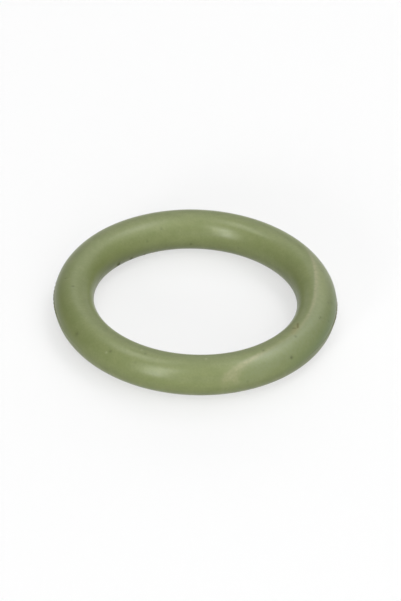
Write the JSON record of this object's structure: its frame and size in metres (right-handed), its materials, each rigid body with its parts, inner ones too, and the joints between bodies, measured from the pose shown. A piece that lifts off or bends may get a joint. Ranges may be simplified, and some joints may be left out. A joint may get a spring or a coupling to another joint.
{
  "type": "sealing ring",
  "caption": "Moulded olive-green rubber ring of round section, squeezed between a pipe or spigot and its fitting, or between two flat faces, to keep the joint tight.",
  "frame": {"origin": "centre of the ring, on its axis and in its mid plane, where the mould parted", "axes": "+Z along the ring's axis, up as the ring lies flat; X and Y lie in its plane and are alike, because the ring is round"},
  "size_m": [0.0252, 0.0252, 0.0036],
  "materials": {
    "rubber": "satin"
  },
  "bodies": {
    "root": {"sealing_ring": "rubber"}
  },
  "joints": []
}
